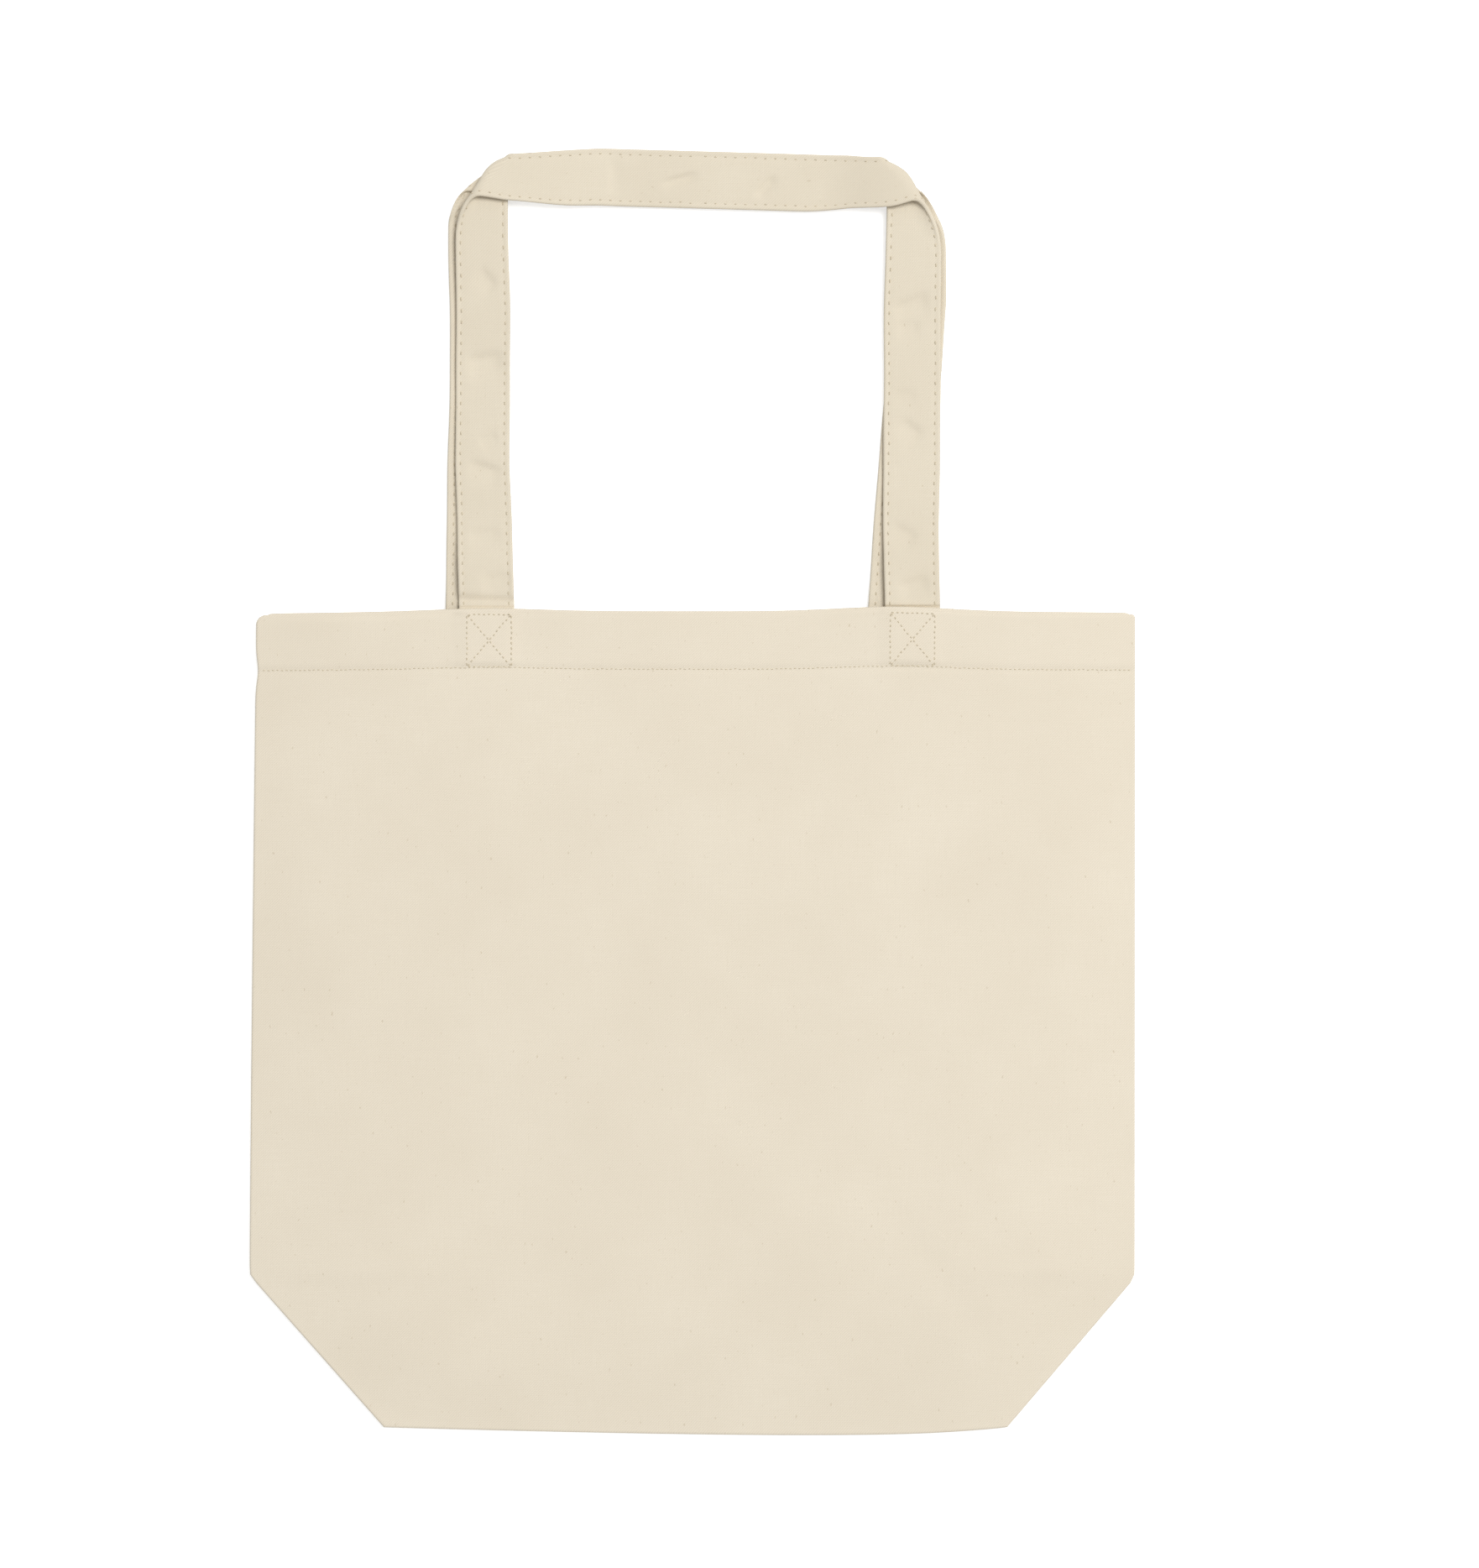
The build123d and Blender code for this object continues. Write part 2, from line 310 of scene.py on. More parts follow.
def new_object(name, points, faces, material, cloth=None):
    """A smooth-shaded mesh object from points in millimetres and their places on the flat cloth."""
    points = np.reshape(points, (-1, 3))
    mesh = bpy.data.meshes.new(name)
    mesh.from_pydata((points * MM).tolist(), [], faces)
    mesh.update()
    mesh.polygons.foreach_set("use_smooth", [True] * len(mesh.polygons))
    mesh.materials.append(material)
    if cloth is not None:
        flat = np.zeros(points.shape, np.float32)
        flat[:, :2] = np.reshape(cloth, (-1, 2)) * MM
        mesh.attributes.new("cloth", "FLOAT_VECTOR", "POINT").data.foreach_set("vector", flat.ravel())
    return add_object(name, mesh)


def grid_faces(rows, columns, start=0, closed=False):
    """Quads of a grid of points laid out row by row."""
    faces = []
    wrap = columns if closed else columns - 1
    for row in range(rows - 1):
        near = start + row * columns
        far = near + columns
        for column in range(wrap):
            after = (column + 1) % columns
            faces.append((near + column, near + after, far + after, far + column))
    return faces


def thicken(obj, thickness):
    """Gives a sheet its thickness, half on each side, and keeps the result as its mesh."""
    solid = obj.modifiers.new("thickness", "SOLIDIFY")
    solid.thickness = thickness * MM
    solid.offset = 0
    shown = obj.evaluated_get(bpy.context.evaluated_depsgraph_get())
    mesh = bpy.data.meshes.new_from_object(shown)
    obj.modifiers.clear()
    obj.data = mesh
    return obj


def points_of(obj):
    """A piece's points in millimetres."""
    flat = np.zeros(len(obj.data.vertices) * 3)
    obj.data.vertices.foreach_get("co", flat)
    return flat.reshape(-1, 3) / MM


# Materials


class Nodes:
    """Short forms for building a material's node tree."""

    def __init__(self, name):
        self.material = bpy.data.materials.new(name)
        self.material.use_nodes = True
        self.tree = self.material.node_tree
        self.shader = self.tree.nodes["Principled BSDF"]

    def add(self, kind, inputs=None, **settings):
        node = self.tree.nodes.new(kind)
        for key, value in settings.items():
            setattr(node, key, value)
        for key, value in (inputs or {}).items():
            self.feed(node.inputs[key], value)
        return node

    def feed(self, socket, value):
        if isinstance(value, bpy.types.NodeSocket):
            self.tree.links.new(value, socket)
        else:
            socket.default_value = value

    def set(self, name, value):
        """Gives one of the shader's inputs a value, or another node's output."""
        self.feed(self.shader.inputs[name], value)

    def relief(self, height, depth):
        """Raises the surface a little by a height from 0 to 1."""
        inputs = {"Height": height, "Strength": RELIEF_STRENGTH, "Distance": depth * MM}
        self.set("Normal", self.add("ShaderNodeBump", inputs).outputs[0])

    def math(self, operation, a, b=0.0, c=0.0):
        node = self.add("ShaderNodeMath", operation=operation)
        for socket, value in zip(node.inputs, (a, b, c)):
            self.feed(socket, value)
        return node.outputs[0]

    def noise(self, vector, scale=1.0, detail=3.0, roughness=0.55):
        inputs = {"Vector": vector, "Scale": scale, "Detail": detail, "Roughness": roughness}
        return self.add("ShaderNodeTexNoise", inputs).outputs["Fac"]

    def stretched(self, vector, across, along):
        node = self.add("ShaderNodeVectorMath", operation="MULTIPLY")
        self.feed(node.inputs[0], vector)
        node.inputs[1].default_value = (across, along, 1.0)
        return node.outputs[0]

    def ramp(self, value, low, high):
        """Maps low to high of a value onto 0 to 1."""
        inputs = {"Value": value, "From Min": low, "From Max": high}
        return self.add("ShaderNodeMapRange", inputs).outputs[0]

    def mix(self, factor, first, second, blend="MIX"):
        node = self.add("ShaderNodeMix", data_type="RGBA", blend_type=blend)
        self.feed(node.inputs[0], factor)
        self.feed(node.inputs[6], first)
        self.feed(node.inputs[7], second)
        return node.outputs[2]


def srgb(red, green, blue):
    """A colour as it is seen on a screen, in the linear values that a shader takes."""
    channels = []
    for value in (red, green, blue):
        c = value / 255
        channels.append(c / 12.92 if c <= 0.04045 else ((c + 0.055) / 1.055) ** 2.4)
    return (*channels, 1.0)


YARN_PITCH = 0.62  # between neighbouring yarns of the canvas
SLUB_CELLS = (60, 1500)  # cells of noise to a metre, along a yarn and across it
FLECK_CELLS = (700, 350)
CLOUD_CELLS, GRAIN_CELLS = 14.0, 900.0
FUZZ_CELLS, CHANGE_CELLS, PLY_CELLS = 1800.0, 45.0, 900.0  # of the thread
FLECK_COLOUR = srgb(178, 160, 128)
WEAVE_DEPTH, TWIST_DEPTH = 0.12, 0.08  # of the canvas, and of the thread's plies
RELIEF_STRENGTH = 0.5


def weave_height(nodes, vector):
    """Plain weave: each yarn passes over and under its neighbours in turn."""
    parts = nodes.add("ShaderNodeSeparateXYZ", {"Vector": vector})
    pitch = YARN_PITCH * MM
    x = nodes.math("DIVIDE", parts.outputs[0], pitch)
    y = nodes.math("DIVIDE", parts.outputs[1], pitch)
    sides = []
    for across, along, shift in ((x, y, 0.0), (y, x, 1.0)):
        yarn = nodes.math("ABSOLUTE", nodes.math("SINE", nodes.math("MULTIPLY", across, math.pi)))
        number = nodes.math("ADD", nodes.math("FLOOR", across), shift)
        phase = nodes.math("MULTIPLY", nodes.math("ADD", along, number), math.pi)
        rise = nodes.math("MULTIPLY_ADD", nodes.math("COSINE", phase), 0.5, 0.5)
        sides.append(nodes.math("MULTIPLY", yarn, rise))
    return nodes.math("MAXIMUM", *sides)


def canvas_material(name, colour, deep):
    """Unbleached cotton canvas: uneven yarns, slubs, a few darker flecks, soft clouding, and painted shade
    between the yarns.
    """
    nodes = Nodes(name)
    cloth = nodes.add("ShaderNodeAttribute", attribute_name="cloth").outputs["Vector"]
    weft_slubs = nodes.noise(nodes.stretched(cloth, *SLUB_CELLS), detail=2.0)
    warp_slubs = nodes.noise(nodes.stretched(cloth, *SLUB_CELLS[::-1]), detail=2.0)
    slubs = nodes.math("MULTIPLY_ADD", nodes.math("ADD", weft_slubs, warp_slubs), 0.5, 0.0)
    cloud = nodes.noise(cloth, CLOUD_CELLS, detail=4.0, roughness=0.6)
    grain = nodes.noise(cloth, GRAIN_CELLS, detail=2.0, roughness=0.7)
    flecks = nodes.ramp(nodes.noise(nodes.stretched(cloth, *FLECK_CELLS), detail=1.0), low=0.72, high=0.80)
    weave = weave_height(nodes, cloth)
    tint = nodes.mix(nodes.ramp(cloud, low=0.25, high=0.75), deep, colour)
    tint = nodes.mix(nodes.ramp(slubs, low=0.35, high=0.65), nodes.mix(0.5, tint, deep), tint)
    tint = nodes.mix(nodes.math("MULTIPLY", flecks, 0.35), tint, FLECK_COLOUR)
    # painted shade: the colour is darker where the yarns dip under each other and a little lighter on their
    # crowns
    shade = nodes.math("MULTIPLY_ADD", weave, 0.10, 0.93)
    grey = nodes.add("ShaderNodeCombineColor", {0: shade, 1: shade, 2: shade}).outputs[0]
    tint = nodes.mix(1.0, tint, grey, "MULTIPLY")
    nodes.set("Base Color", tint)
    nodes.set("Roughness", nodes.math("MULTIPLY_ADD", grain, 0.12, 0.82))
    nodes.set("Specular IOR Level", 0.25)
    nodes.set("Sheen Weight", 0.08)
    height = nodes.math("MULTIPLY_ADD", slubs, 0.9, weave)
    height = nodes.math("MULTIPLY_ADD", grain, 0.4, height)
    nodes.relief(height, WEAVE_DEPTH)
    return nodes.material


def thread_material():
    """Plied cotton thread, unevenly toned, and coloured a little darker than the cloth it is pulled into:
    painted shade of the dimples and needle holes it sinks into.
    """
    nodes = Nodes("thread")
    place_on = nodes.add("ShaderNodeTexCoord").outputs["Object"]
    fuzz = nodes.noise(place_on, FUZZ_CELLS, detail=2.0, roughness=0.6)
    long_change = nodes.noise(place_on, CHANGE_CELLS, detail=2.0)
    # painted shade: these thread colours are darker than the canvas to stand for the shade in the stitches'
    # dimples and needle holes
    tint = nodes.mix(nodes.ramp(fuzz, low=0.3, high=0.7), srgb(196, 183, 157), srgb(220, 209, 185))
    change = nodes.math("MULTIPLY", nodes.ramp(long_change, low=0.4, high=0.7), 0.4)
    tint = nodes.mix(change, tint, srgb(210, 198, 172))
    nodes.set("Base Color", tint)
    nodes.set("Roughness", 0.75)
    nodes.set("Sheen Weight", 0.1)
    plies = {"Vector": place_on, "Scale": PLY_CELLS, "Distortion": 2.0}
    ply = nodes.add("ShaderNodeTexWave", plies, bands_direction="DIAGONAL").outputs["Fac"]
    nodes.relief(ply, TWIST_DEPTH)
    return nodes.material


CANVAS_LOOK = canvas_material("canvas", srgb(236, 226, 207), srgb(229, 218, 198))
STRAP_LOOK = canvas_material("strap_canvas", srgb(232, 222, 202), srgb(223, 212, 191))
THREAD_LOOK = thread_material()


# Panels

RIM_TURNS = 6
RIM_STEPS = [FOLD * (1 - math.cos(math.pi / 2 * i / RIM_TURNS)) for i in range(RIM_TURNS + 1)]
EDGE_STEPS = [1.4, 2.4, 4.0, 6.5, 10.0, 14.5, 20.0, 26.0]
INNER = EDGE_STEPS[-1]
MIDDLE_COLUMNS = 100
FACE_ROWS, HEM_FACE_ROWS, MOUTH_ROWS = 88, 22, 8
BELOW_HEM_ROW = 4.0  # the grid's rows lie closer together from here up
SHARP = 1e-6  # blur of a distance whose corners stay sharp


def edge_marks():
    """Distances in from a pressed edge, first those behind the edge, then those on the outside."""
    behind = [(TURN_IN, -1)] + [(d, -1) for d in reversed(RIM_STEPS[1:])]
    return behind + [(d, 1) for d in RIM_STEPS] + [(d, 1) for d in EDGE_STEPS]


def panel_levels():
    """Levels of a panel's rows, from the bottom edge to the mouth, and which lie behind that edge."""
    levels = [(BASE_Y + d, side) for d, side in edge_marks()]
    top = HEM_ROW_Y - BELOW_HEM_ROW
    levels += [(y, 1) for y in np.linspace(BASE_Y + INNER, top, FACE_ROWS)[1:]]
    rounding = MOUTH_ROUND[LEFT]
    near_mouth = MOUTH_Y - rounding
    levels += [(y, 1) for y in np.linspace(top, near_mouth, HEM_FACE_ROWS)[1:]]
    turns = np.linspace(0, math.pi / 2, MOUTH_ROWS)[1:]
    return levels + [(near_mouth + rounding * math.sin(turn), 1) for turn in turns]


def panel_layout():
    """Layout positions u, v of a panel's grid, and which points lie behind the pressed edge."""
    marks = edge_marks()
    u, v, sides = [], [], []
    for y, level_side in panel_levels():
        left, right = -side_edge(y, LEFT), side_edge(y, RIGHT)
        at_left, at_right = side_slope(y, LEFT), side_slope(y, RIGHT)
        row = [(left + d / at_left, side) for d, side in marks]
        inner = np.linspace(left + INNER / at_left, right - INNER / at_right, MIDDLE_COLUMNS + 2)[1:-1]
        row += [(x, 1) for x in inner]
        row += [(right - d / at_right, side) for d, side in reversed(marks)]
        u.append([x for x, _ in row])
        v.append([y] * len(row))
        sides.append([min(side, level_side) for _, side in row])
    return np.array(u), np.array(v), np.array(sides)


def rim_height(u, v):
    """Height of the rounded edge: none at the very edge, the fold's radius once past it."""
    near = np.clip(edge_distance(u, v, SHARP), 0, FOLD)
    return np.sqrt(np.clip(FOLD**2 - (FOLD - near) ** 2, 0, None))


HEM_DROP = 26.0
HEM_LAYER = 0.86  # between the middles of the hem's two layers
HEM_DROPS = [0.8, 1.8, 3.2, *np.linspace(5.0, HEM_DROP, 12)]
HEM_CLOSES = 2.0  # how fast the two layers close in below the rolled edge
ROLL_STEPS = 6


def hem_rows(u, face_z, inwards):
    """The cloth rolled over the mouth's edge and turned down inside; the roll runs out at both ends."""
    from_end = np.clip(np.minimum(u - u[0], u[-1] - u) / MOUTH_ROUND[LEFT], 0, 1)
    roll = FOLD * np.sqrt(1 - (1 - from_end) ** 2)
    levels, heights, cloth_v = [], [], []
    for i in range(1, ROLL_STEPS + 1):
        turn = math.pi * i / ROLL_STEPS
        levels.append(MOUTH_Y + roll * math.sin(turn))
        heights.append(face_z(u, MOUTH_Y + 0 * u) + inwards * FOLD * (1 - math.cos(turn)))
        cloth_v.append(MOUTH_Y + FOLD * turn + 0 * u)
    for drop in HEM_DROPS:
        gap = HEM_LAYER + (2 * FOLD - HEM_LAYER) * math.exp(-drop / HEM_CLOSES)
        levels.append(MOUTH_Y - drop + 0 * u)
        heights.append(face_z(u, MOUTH_Y - drop + 0 * u) + inwards * gap)
        cloth_v.append(MOUTH_Y + FOLD * math.pi + drop + 0 * u)
    x, y = place(np.broadcast_to(u, np.shape(levels)), np.array(levels))
    return xyz(x, y, heights), np.array(cloth_v)


def make_panel(name, rim_z, outwards, face_z):
    """One side of the bag: its face, the rounded edge all round and the hem turned in at the mouth."""
    u, v, sides = panel_layout()
    x, y = place(u, v)
    z = np.where(sides > 0, face_z(u, v) - outwards * FOLD, rim_z)
    z = z + outwards * sides * rim_height(u, v)
    rows, columns = u.shape
    points = [xyz(x, y, z).reshape(-1, 3)]
    cloth = [np.stack([u, v], axis=-1).reshape(-1, 2)]
    faces = grid_faces(rows, columns)
    first = len(edge_marks()) - len(EDGE_STEPS) - 1
    mouth = np.arange(first, columns - first)
    inside, along = hem_rows(u[-1, mouth], face_z, -outwards)
    start = rows * columns
    points.append(inside.reshape(-1, 3))
    cloth.append(np.stack([np.broadcast_to(u[-1, mouth], along.shape), along], axis=-1).reshape(-1, 2))
    seam = ((rows - 1) * columns + mouth).tolist()
    for c in range(len(mouth) - 1):
        faces.append((seam[c], seam[c + 1], start + c + 1, start + c))
    faces += grid_faces(inside.shape[0], len(mouth), start)
    if outwards < 0:
        faces = [face[::-1] for face in faces]
    obj = new_object(name, np.concatenate(points), faces, CANVAS_LOOK, np.concatenate(cloth))
    return thicken(obj, CANVAS)


def front_face_z(u, v):
    return front_surface(u, v, 0.0)[..., 2]


def back_face_z(u, v):
    return back_surface(u, v, 0.0)[..., 2]


FOLLOW = 84.0  # how far in from the sides a point of the front still follows the back in part
FOLLOW_ROUND = 12.0  # how softly that turns from an upright side into a slanting corner


def from_side(x, y, side):
    """Distance in from one side of the bag and from its slanting corner."""
    slant, lean = slant_edge(y, side)
    square = (slant - side * x) / math.hypot(1, lean)
    return soft_min(upright_edge(y, side) - side * x, square, FOLLOW_ROUND)


def front_share(points):
    """How far each point of the front follows the opening front rather than the back."""
    x, y = points[..., 0], points[..., 1]
    return smoothstep(np.minimum(from_side(x, y, LEFT), from_side(x, y, RIGHT)) / FOLLOW)


def follow_front(obj):
    """Bakes a piece of the front into place and works out how far each point would follow the opening front,
    in its middle, rather than the back along the sides; the shares are not used.
    """
    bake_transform(obj)
    front_share(points_of(obj))


front_panel = make_panel("front_panel_cloth", FRONT_RIM_Z, 1, front_face_z)
follow_front(front_panel)
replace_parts(front_panel, "front_panel")

back_panel = make_panel("back_panel_cloth", BACK_RIM_Z, -1, back_face_z)
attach(back_panel, "back")
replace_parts(back_panel, "back_panel")


# Cloth tucked inside

UPPER_Z = FRONT_RIM_Z - FOLD  # layer that goes on from the front's pressed edge
LOWER_Z = BACK_RIM_Z + FOLD  # layer that goes on from the back's pressed edge
LAYER_ROWS, INNER_TURNS = 18, 6


def tucked_layers(name, start_y, fold_y, xs):
    """Two layers that run in from the bag's edge and meet in an inner fold."""
    radius = (UPPER_Z - LOWER_Z) / 2
    middle = (UPPER_Z + LOWER_Z) / 2
    steps = np.linspace(0, 1, LAYER_ROWS)
    rows, upper = [], []
    for step in steps:
        rows.append(xyz(xs, start_y + (fold_y - start_y) * step, UPPER_Z))
        upper.append(1 - step)
    for i in range(1, INNER_TURNS):
        turn = math.pi * i / INNER_TURNS
        rows.append(xyz(xs, fold_y + radius * math.sin(turn), middle + radius * math.cos(turn)))
        upper.append(0)
    for step in steps[::-1]:
        rows.append(xyz(xs, start_y + (fold_y - start_y) * step, LOWER_Z))
        upper.append(0)
    walked = np.linspace(0, 2, len(rows))[:, None] * (fold_y - start_y)
    cloth = np.stack(np.broadcast_arrays(xs, walked), axis=-1)
    obj = new_object(name, rows, grid_faces(len(rows), len(xs)), CANVAS_LOOK, cloth)
    return obj, np.repeat(upper, len(xs))


def thickened_weights(obj, weights):
    """Carries a sheet's weights through its thickening."""
    obj.data.attributes.new("share", "FLOAT", "POINT").data.foreach_set("value", weights.astype(np.float32))
    thicken(obj, CANVAS)
    values = np.zeros(len(obj.data.vertices), np.float32)
    obj.data.attributes["share"].data.foreach_get("value", values)
    obj.data.attributes.remove(obj.data.attributes["share"])
    return values


def bottom_edge(xs):
    """The bag's bottom edge, bowed."""
    return BASE_Y - bottom_drop(xs, BASE_Y)


BASE_INSET = 0.4  # the base ends just short of the corners
BASE_HALF = BASE_ENDS[LEFT] - BASE_INSET
BASE_COLUMNS = 60

base_xs = np.linspace(-BASE_HALF, BASE_HALF, BASE_COLUMNS)
base_start = bottom_edge(base_xs) + TURN_IN
base, base_share = tucked_layers("base_gusset_cloth", base_start, TUCK_Y, base_xs)
base_share = thickened_weights(base, base_share)
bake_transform(base)
base_share * front_share(points_of(base))
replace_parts(base, "base_gusset")


def finish_inner(obj, flat, **cut):
    """Thickens a piece that is folded away inside, and puts it with the back."""
    thicken(obj, CANVAS)
    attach(obj, "back")
    return obj


CORNER_COLUMNS = 26
CORNER_START, CORNER_STOP = 0.3, 4.0  # from the base and from the bag's side to a corner's layers
LEAST_TUCK = 0.2  # what is left of them at their narrow end
CORNER_SHARE = 0.46  # of the oblong round its cut cloth


def make_corner(name, side):
    """A boxed corner: two three-cornered layers, joined along the end of the side seam."""
    base_x = BASE_ENDS[side]
    xs = np.linspace(base_x + CORNER_START, HALF_WIDTH - CORNER_STOP, CORNER_COLUMNS)
    slant = (CORNER_Y - BASE_Y) / (HALF_WIDTH - base_x)
    edge_y = BASE_Y + (xs - base_x) * slant
    edge_y = edge_y + TURN_IN * math.hypot(1, slant)
    inner_y = TUCK_Y + (CORNER_Y - TUCK_Y) * (xs - base_x) / (HALF_WIDTH - base_x)
    edge_y = np.minimum(edge_y, inner_y - LEAST_TUCK)
    obj, _ = tucked_layers(name, edge_y, inner_y, side * xs)
    width = (HALF_WIDTH - base_x) * MM
    depth = 2 * (TUCK_Y - BASE_Y) * MM
    return finish_inner(obj, (width, depth), area=CORNER_SHARE * width * depth)


SEAM_WIDTH = 10.5
SEAM_START = 1.0  # above the slanting corner
SEAM_ROWS, SEAM_COLUMNS = 6, 90


def make_side_seam(name, side):
    """The two panels' edges, turned in along a side and lying on each other."""
    ys = np.linspace(CORNER_Y + SEAM_START, HEM_ROW_Y, SEAM_COLUMNS)
    edge = side_edge(ys, side)
    depths = np.linspace(TURN_IN, SEAM_WIDTH, SEAM_ROWS)
    layers, faces = [], []
    for layer, z in enumerate((UPPER_Z, LOWER_Z)):
        layers += [xyz(side * (edge - depth), ys, z) for depth in depths]
        faces += grid_faces(len(depths), len(ys), layer * len(depths) * len(ys))
    points = np.concatenate(layers)
    obj = new_object(name, points, faces, CANVAS_LOOK, points[:, :2])
    length = (HEM_ROW_Y - CORNER_Y) * MM
    width = (SEAM_WIDTH - TURN_IN) * MM
    return finish_inner(obj, (2 * width, length))


for make_piece, piece in ((make_corner, "boxed_corner"), (make_side_seam, "side_seam")):
    for name, side in SIDES.items():
        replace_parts(make_piece(f"{name}_{piece}_cloth", side), f"{name}_{piece}")


# Straps

HALF_THICK = STRAP_THICK / 2
ROOT2 = math.sqrt(2)
RUN_INSET = 1.2  # from the frame's top to the run's upper edge, before its bow
RUN_Y = TOP_Y - HALF_STRAP - RUN_INSET
FOLD_RISE = 2.2  # height that a pressed fold adds

# How the straps lie; a pair is where a change starts, along the strap from its fold, and its length
LEAVES_MOUTH = 1.0  # a leg starts to come down this far above the mouth
CREST = (-75.0, 60.0)  # it rises again
FALL_START = 6.0  # the run comes down
FLAT = (18.0, 45.0)  # the run lies flat
RUN_GAIN = {"front": 0.04, "back": -0.12}  # share of its width that the run gains by that
CUPPED = {"front": {LEFT: 0.02, RIGHT: -0.03}, "back": {LEFT: 0.0, RIGHT: 0.0}}  # share that a leg loses
CUP = (40.0, 60.0)  # from the sewn end
DRAWN_IN = {"front": 1.0, "back": 0.0}  # how far a leg's inner edge draws in just below the run
LOOSE_ROUND = 5.0  # how softly a fold's loose end begins
LEAN_TAIL = 12.0  # a leg's lean dies out this far on both sides of its fold
WANDERS = ((0.12, 17.0), (0.08, 7.3))  # how far a leg wanders, and over what length
CURL, CURL_EDGE = {"front": 0.0, "back": 0.6}, (8.5, 4.0)  # how a leg's outer edge turns up
DENT_MIDDLE, DENT_FACES = 0.62, 0.38  # share of a kink at the strap's middle; its upper face has more

# Where each of these starts, how long it rises, where it ends, and how long it falls before that
DRAW_STRETCH = (-60.0, 45.0, 2.0, 10.0)  # from the fold
SLANT_STRETCH = (-62, 42, 66, 44)  # from the fold, the rows that slant with its crease
REACH_STRETCH = (10.0, 14.0, 38.0, 12.0)  # from a fold's loose end
SWAY_STRETCH = (0.0, 20.0, 5.0, 30.0)  # from the mouth, up to so far before the fold
CURL_STRETCH = (6.0, 20.0, 8.0, 16.0)  # in the same way

# The run's bow: its highest point above its shoulders, and its drop on both sides of that: how far, over
# what length, in what curve, and where it stops
RUN_CREST_X, RUN_CREST = -42.0, 1.6
RUN_DROPS = {LEFT: (2.3, 41.0, 1.3, 44.0), RIGHT: (3.4, 121.0, 1.1, None)}
LAST_DROP, LAST_DROP_RAMP = 1.0, (112.0, 16.0)  # the right end drops further
BOW = (-4.0, 16.0)  # where it sets in

# How far each leg bows to the right, at what level and over what length
LEG_BOWS = {
    "front": {LEFT: (-0.2, 160.0, 80.0), RIGHT: (-0.6, 140.0, 65.0)},
    "back": {LEFT: (0.95, 190.0, 42.0), RIGHT: (0.5, 215.0, 42.0)},
}

# A strap's fold: strap length taken up by its pressed end and by its loose end, and the loose end's run and
# height; how far the pressed end is pushed out; the length of run over which the strap comes down beside
# it; how far the strap is lifted there, how long before the crease that begins, over what length, and
# where it fades
Fold = namedtuple(
    "Fold", "tight loose loose_run loose_height reach fall lift lift_lead lift_run lift_start lift_end"
)

FRONT_FOLDS = {
    LEFT: Fold(tight=3.0, loose=27.0, loose_run=38.0, loose_height=6.0, reach=1.9, fall=70.0,
               lift=4.6, lift_lead=45.0, lift_run=28.0, lift_start=8.0, lift_end=40.0),
    RIGHT: Fold(tight=6.0, loose=36.0, loose_run=38.0, loose_height=7.5, reach=1.1, fall=36.0,
                lift=3.6, lift_lead=50.0, lift_run=28.0, lift_start=14.0, lift_end=46.0),
}
BACK_FOLDS = {
    LEFT: Fold(tight=11.5, loose=12.5, loose_run=16.0, loose_height=2.6, reach=0.0, fall=24.0,
               lift=7.2, lift_lead=2.5, lift_run=9.0, lift_start=8.0, lift_end=44.0),
    RIGHT: Fold(tight=20.0, loose=27.0, loose_run=26.0, loose_height=2.6, reach=0.0, fall=24.0,
                lift=8.5, lift_lead=3.0, lift_run=15.0, lift_start=13.0, lift_end=40.0),
}

# A kink in a strap: how far along, as a level up the leg, and how far across towards the leg's inner edge;
# turn of its crease in degrees, from across the strap to along it; half its length; the widths of its near
# and its far slope; its depth
Dent = namedtuple("Dent", "at across turn reach near far depth")

ALL_ACROSS = 30.0  # reach of a kink that runs from edge to edge
DENTS = {
    "front": {
        LEFT: (
            Dent(84.8, 0.0, 0.0, ALL_ACROSS, 0.7, 0.7, 1.2),
            Dent(87.9, 0.0, -2.0, ALL_ACROSS, 2.5, 2.5, 1.8),
            Dent(97.5, 5.0, 6.0, 6.5, 8.0, 3.6, 1.2),
            Dent(118.5, 0.0, 11.0, 6.5, 6.0, 2.6, 0.9),
            Dent(149.0, 1.2, -16.0, 7.0, 6.0, 2.2, 1.2),
            Dent(162.6, 2.6, 27.0, 4.0, 5.0, 2.2, 0.7),
            Dent(199.0, 0.8, 9.0, 7.5, 8.0, 3.0, 1.6),
            Dent(234.5, 2.0, -41.0, 4.5, 6.0, 2.4, 1.0),
            Dent(RUN_Y + 60.0, 0.0, 0.0, 7.5, 2.0, 5.0, 0.7),
            Dent(RUN_Y + 90.0, 0.3, 73.0, 7.5, 1.3, 3.2, 1.3),
        ),
        RIGHT: (
            Dent(85.0, 0.0, 0.0, ALL_ACROSS, 0.7, 0.7, 1.2),
            Dent(95.8, -0.7, -17.0, 6.5, 6.0, 2.6, 1.3),
            Dent(119.0, 3.0, 30.0, 5.5, 6.0, 2.8, 1.0),
            Dent(167.0, 0.3, 38.0, 5.5, 6.0, 2.6, 1.1),
            Dent(182.5, 3.2, 0.0, 4.5, 5.0, 2.4, 0.5),
            Dent(214.0, 2.0, -5.0, 5.0, 5.0, 2.4, 0.8),
            Dent(223.5, 0.5, -13.0, 7.5, 7.0, 2.8, 1.5),
            Dent(RUN_Y + 68.0, -2.0, -42.0, 5.5, 3.4, 1.4, 1.2),
        ),
    },
    "back": {
        LEFT: (
            Dent(120.0, 0.0, 11.0, ALL_ACROSS, 6.0, 6.0, -0.3),
            Dent(180.0, 0.0, -11.0, ALL_ACROSS, 7.0, 7.0, -0.3),
        ),
        RIGHT: (
            Dent(110.0, 0.0, 11.0, ALL_ACROSS, 6.0, 6.0, -0.3),
            Dent(145.0, 0.0, -11.0, ALL_ACROSS, 7.0, 7.0, -0.3),
        ),
    },
}


